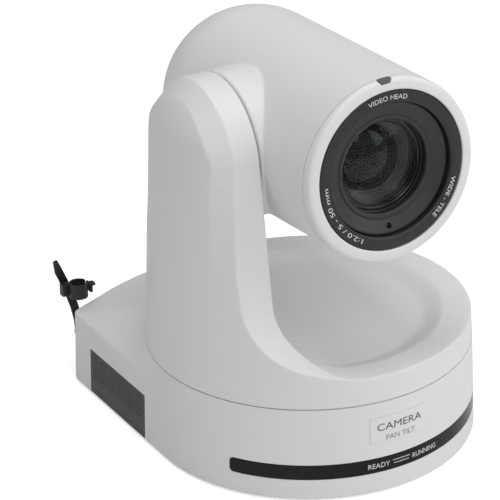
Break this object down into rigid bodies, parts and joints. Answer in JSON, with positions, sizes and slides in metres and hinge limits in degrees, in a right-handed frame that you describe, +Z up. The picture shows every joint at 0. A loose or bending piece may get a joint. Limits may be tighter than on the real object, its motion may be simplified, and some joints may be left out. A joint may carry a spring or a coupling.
{
  "type": "pan-tilt-zoom camera",
  "caption": "White pan-tilt-zoom video camera: a round-fronted base, a turning disc with a side arm, and a tilting lens barrel with a black ring round the lens.",
  "frame": {"origin": "on the pan axis, in the plane that the feet stand on", "axes": "+Z up along the pan axis, -Y forwards, the way the lens looks at pan 0; +X away from the arm"},
  "size_m": [0.1832, 0.2337, 0.2299],
  "materials": {
    "white_plastic": "satin, fine grain",
    "black_window": "high gloss",
    "black_plastic": "satin",
    "dark_grey_plastic": "matt, anti-reflection",
    "label_film": "printed film",
    "rubber": "matt",
    "steel": "bright",
    "aluminium": "machined",
    "nickel_plating": "nickel plated",
    "circuit_board": "solder mask",
    "coated_glass": "anti-reflection coated",
    "lamp_lens": "frosted"
  },
  "bodies": {
    "base": {"base_housing": "white_plastic", "front_window": "black_window", "status_lamp": "lamp_lens", "badge_plate": "white_plastic", "rating_label": "label_film", "base_plate": "aluminium", "foot_front_left": "rubber", "foot_front_right": "rubber", "foot_rear_left": "rubber", "foot_rear_right": "rubber", "rear_panel": "white_plastic", "bnc_genlock": "nickel_plating", "bnc_sdi_first": "nickel_plating", "bnc_sdi_second": "nickel_plating", "hdmi_socket": "steel", "lan_socket": "steel", "control_socket": "steel", "audio_jack": "black_plastic", "dc_inlet": "black_plastic", "clamp_anchor": "black_plastic", "clamp_strap": "black_plastic", "clamp_loop": "black_plastic", "pan_chassis": "aluminium", "pan_bearing": "steel", "pan_motor": "steel", "pan_belt": "rubber", "main_board": "circuit_board"},
    "pan_unit": {"turntable": "aluminium", "disc_cover": "white_plastic", "arm_cover_outer": "white_plastic", "arm_cover_inner": "white_plastic", "pan_spindle": "aluminium", "pan_pulley": "black_plastic", "arm_frame": "aluminium", "tilt_bearing": "steel", "tilt_motor": "steel", "tilt_belt": "rubber"},
    "head": {"head_shell": "white_plastic", "front_bezel": "white_plastic", "tally_lamp": "lamp_lens", "lens_ring": "black_plastic", "lens_hood": "dark_grey_plastic", "front_lens": "coated_glass", "lens_barrel": "aluminium", "prism_block": "coated_glass", "sensor_board_green": "circuit_board", "sensor_board_red": "circuit_board", "sensor_board_blue": "circuit_board", "camera_board": "circuit_board", "heat_sink": "aluminium", "head_frame": "aluminium", "tilt_shaft": "steel", "tilt_pulley": "black_plastic"},
    "zoom_group": {"zoom_group": "coated_glass"},
    "focus_group": {"focus_group": "coated_glass"},
    "filter_wheel": {"filter_wheel": "black_plastic"},
    "pan_motor_pulley": {"pan_motor_pulley": "black_plastic"},
    "tilt_motor_pulley": {"tilt_motor_pulley": "black_plastic"},
    "select_switch": {"select_switch": "black_plastic"},
    "clamp_latch": {"clamp_latch": "black_plastic"}
  },
  "joints": [
    {"name": "pan", "type": "hinge", "parent": "base", "child": "pan_unit", "pos_m": [0, 0, 0.06], "axis": [0, 0, 1], "range_deg": [-175, 175]},
    {"name": "tilt", "type": "hinge", "parent": "pan_unit", "child": "head", "pos_m": [0, 0, 0.1757], "axis": [-1, 0, 0], "range_deg": [-34, 206]},
    {"name": "zoom", "type": "slide", "parent": "head", "child": "zoom_group", "axis": [0, 0.9976, -0.0698], "range_m": [-0.012, 0.018]},
    {"name": "focus", "type": "slide", "parent": "head", "child": "focus_group", "axis": [0, 0.9976, -0.0698], "range_m": [-0.004, 0.01]},
    {"name": "filter", "type": "hinge", "parent": "head", "child": "filter_wheel", "pos_m": [0, 0.02469, 0.15894], "axis": [0, 0.9976, -0.0698], "range_deg": [0, 270]},
    {"name": "pan_motor_turn", "type": "hinge", "parent": "base", "child": "pan_motor_pulley", "pos_m": [0, 0.06, 0.047], "axis": [0, 0, 1], "range_deg": [-745, 745]},
    {"name": "tilt_motor_turn", "type": "hinge", "parent": "pan_unit", "child": "tilt_motor_pulley", "pos_m": [-0.0705, 0, 0.084], "axis": [-1, 0, 0], "range_deg": [-138, 826]},
    {"name": "select", "type": "slide", "parent": "base", "child": "select_switch", "axis": [1, 0, 0], "range_m": [0, 0.0058]},
    {"name": "latch", "type": "hinge", "parent": "base", "child": "clamp_latch", "pos_m": [-0.0754, 0.1102, 0.052], "axis": [0, 0, -1], "range_deg": [0, 60]}
  ],
  "couplings": [
    {"joint": "pan_motor_turn", "follows": "pan", "ratio": 4.25},
    {"joint": "tilt_motor_turn", "follows": "tilt", "ratio": 4}
  ]
}
